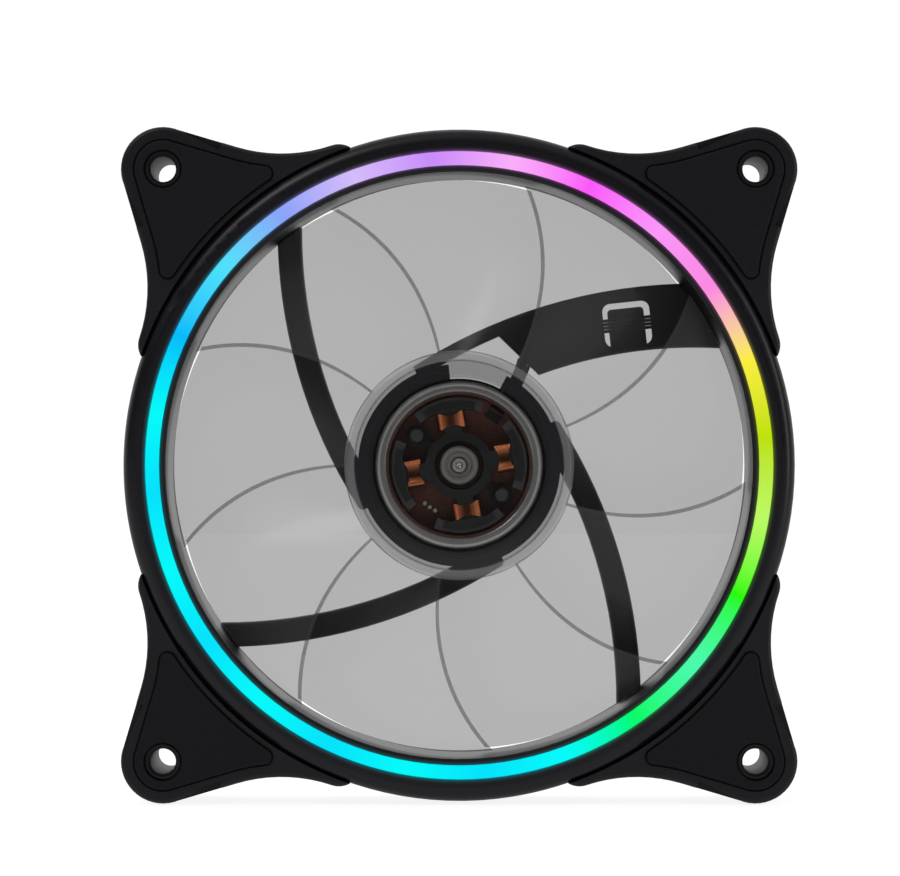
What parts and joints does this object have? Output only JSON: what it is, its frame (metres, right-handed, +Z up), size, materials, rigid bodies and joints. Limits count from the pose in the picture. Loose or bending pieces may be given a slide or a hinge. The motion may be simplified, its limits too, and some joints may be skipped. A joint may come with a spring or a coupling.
{
  "type": "case fan",
  "caption": "Square-cornered cooling fan with a clear bladed impeller, a lit ring round its front and rubber corner pads.",
  "frame": {"origin": "on the shaft axis, halfway between the front and rear pad faces", "axes": "+X right seen from the front, +Y from the front face to the rear face along the shaft, +Z up"},
  "size_m": [0.12, 0.025, 0.12],
  "materials": {
    "frame_plastic": "fine satin grain, black",
    "bezel_plastic": "satin, black",
    "pad_rubber": "matt, fine grain, black",
    "diffuser": "milky, frosted",
    "dark_board": "solder mask, black",
    "brown_board": "solder mask, brown",
    "ceramic_chip": "matt ceramic",
    "chip_plastic": "matt moulding",
    "led_body": "white, semi-gloss",
    "lamination_steel": "stacked sheets",
    "insulator_plastic": "semi-gloss, black",
    "tinned_pin": "tinned",
    "post_plastic": "matt grey",
    "brass_tube": "turned",
    "bearing_bronze": "sintered, matt",
    "seal_rubber": "matt",
    "thrust_plastic": "natural nylon",
    "label_film": "satin film, blank",
    "lead_jacket": "satin",
    "clear_plastic": "clear, slightly smoky",
    "yoke_steel": "plated",
    "magnet": "bonded ferrite, matt",
    "shaft_steel": "ground and polished",
    "insert_steel": "turned face",
    "copper_wire": "enamelled copper wire"
  },
  "bodies": {
    "housing": {"frame": "frame_plastic", "bezel_ring": "bezel_plastic", "light_diffuser": "diffuser", "light_board": "dark_board", "light_board_capacitors": "ceramic_chip", "motor_board": "brown_board", "driver_chip": "chip_plastic", "hall_sensor": "chip_plastic", "motor_capacitors": "ceramic_chip", "stator_core": "lamination_steel", "upper_insulator": "insulator_plastic", "lower_insulator": "insulator_plastic", "terminal_pins": "tinned_pin", "stator_posts": "post_plastic", "bearing_tube": "brass_tube", "sleeve_bearing": "bearing_bronze", "oil_seal": "seal_rubber", "thrust_pad": "thrust_plastic", "rear_cap": "insulator_plastic", "rear_label": "label_film", "lead_ribbon": "lead_jacket", "led_01": "led_body", "led_02": "led_body", "led_03": "led_body", "led_04": "led_body", "led_05": "led_body", "led_06": "led_body", "led_07": "led_body", "led_08": "led_body", "led_09": "led_body", "led_10": "led_body", "led_11": "led_body", "led_12": "led_body", "front_pad_upper_right": "pad_rubber", "front_pad_upper_left": "pad_rubber", "front_pad_lower_left": "pad_rubber", "front_pad_lower_right": "pad_rubber", "rear_pad_upper_right": "pad_rubber", "rear_pad_upper_left": "pad_rubber", "rear_pad_lower_left": "pad_rubber", "rear_pad_lower_right": "pad_rubber", "coil_1": "copper_wire", "coil_2": "copper_wire", "coil_3": "copper_wire", "coil_4": "copper_wire"},
    "rotor": {"impeller": "clear_plastic", "yoke": "yoke_steel", "magnet_ring": "magnet", "shaft": "shaft_steel", "shaft_insert": "insert_steel", "retaining_clip": "thrust_plastic"}
  },
  "joints": [
    {"name": "rotor_spin", "type": "hinge", "parent": "housing", "child": "rotor", "pos_m": [0, 0, 0], "axis": [0, -1, 0], "continuous": true}
  ]
}
